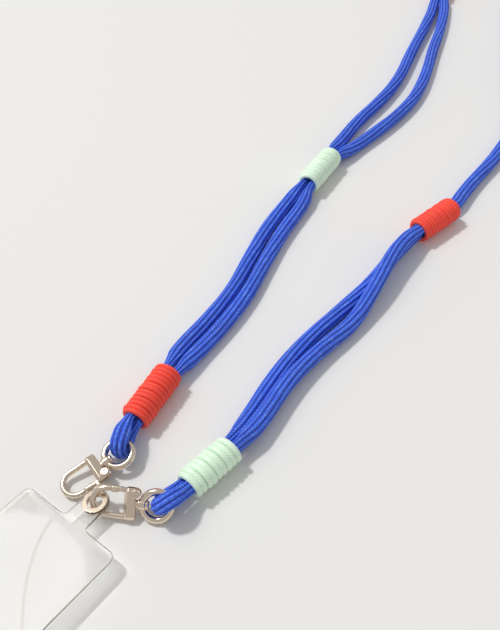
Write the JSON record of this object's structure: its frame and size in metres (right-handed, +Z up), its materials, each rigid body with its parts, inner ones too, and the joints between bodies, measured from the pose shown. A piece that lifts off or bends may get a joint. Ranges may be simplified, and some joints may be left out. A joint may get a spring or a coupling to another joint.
{
  "type": "phone lanyard",
  "caption": "Soft ribbed cord neck strap, doubled and whipped with coloured thread, with swivel snap hooks and a clear phone tab.",
  "frame": {"origin": "middle of the two hooks and the phone tab, on the surface that the strap lies on", "axes": "+Z up from that surface; +Y from the hooks towards the far end of the doubled cord; +X towards the stowed coil"},
  "size_m": [0.3043, 0.5319, 0.0139],
  "materials": {
    "cord_blue": "ribbed knit cord, matt",
    "thread_red": "wound braided thread, slight sheen",
    "thread_mint": "wound braided thread, slight sheen",
    "nickel": "polished warm nickel plate",
    "spring_steel": "drawn wire",
    "clear_film": "clear, glossy"
  },
  "bodies": {
    "cord": {"cord_loop_a": "cord_blue", "cord_loop_b": "cord_blue", "cord_coil": "cord_blue", "cord_a_lower_left": "cord_blue", "cord_a_lower_right": "cord_blue", "cord_a_upper_left": "cord_blue", "cord_a_upper_right": "cord_blue", "cord_b_left": "cord_blue", "cord_b_right": "cord_blue", "cord_b_single": "cord_blue", "cord_to_coil": "cord_blue", "collar_red_a": "thread_red", "collar_mint_a": "thread_mint", "collar_mint_b": "thread_mint", "collar_red_b": "thread_red", "collar_red_end": "thread_red"},
    "eye_a": {"eye_a": "nickel"},
    "hook_a": {"hook_a": "nickel", "swivel_post_a": "nickel", "gate_rivet_a": "nickel", "gate_spring_a": "spring_steel"},
    "gate_a": {"gate_a": "nickel"},
    "eye_b": {"eye_b": "nickel"},
    "hook_b": {"hook_b": "nickel", "swivel_post_b": "nickel", "gate_rivet_b": "nickel", "gate_spring_b": "spring_steel"},
    "gate_b": {"gate_b": "nickel"},
    "tab": {"phone_tab": "clear_film", "tab_eyelet": "nickel", "tab_washer": "nickel"}
  },
  "joints": [
    {"name": "ring_a_swing", "type": "hinge", "parent": "cord", "child": "eye_a", "pos_m": [0.01258, 0.0383, 0.00633], "axis": [-0.9964, 0.0812, -0.0247], "range_deg": [-20, 90]},
    {"name": "hook_a_swivel", "type": "hinge", "parent": "eye_a", "child": "hook_a", "pos_m": [0.0122, 0.0334, 0.0054], "axis": [-0.7105, -0.6861, -0.1564], "continuous": true},
    {"name": "gate_a_open", "type": "hinge", "parent": "hook_a", "child": "gate_a", "pos_m": [0.00951, 0.02582, 0.00388], "axis": [-0.0393, -0.1833, 0.9823], "range_deg": [-20, 0], "stiffness_Nm_per_rad": 0.01, "springref_deg": 11.46},
    {"name": "ring_b_swing", "type": "hinge", "parent": "cord", "child": "eye_b", "pos_m": [0.03437, 0.01711, 0.00783], "axis": [-0.6557, 0.4856, 0.5781], "range_deg": [0, 90]},
    {"name": "hook_b_swivel", "type": "hinge", "parent": "eye_b", "child": "hook_b", "pos_m": [0.0306, 0.0149, 0.0054], "axis": [-0.9997, -0.0262, 0], "range_deg": [-30, 90]},
    {"name": "gate_b_open", "type": "hinge", "parent": "hook_b", "child": "gate_b", "pos_m": [0.02318, 0.01738, 0.00781], "axis": [-0.0175, 0.6689, -0.7431], "range_deg": [-16, 0], "stiffness_Nm_per_rad": 0.01, "springref_deg": 11.46},
    {"name": "tab_swing", "type": "hinge", "parent": "hook_b", "child": "tab", "pos_m": [0.00923, 0.01363, 0.00476], "axis": [-0.2269, 0.7212, 0.6545], "range_deg": [-20, 25]}
  ]
}
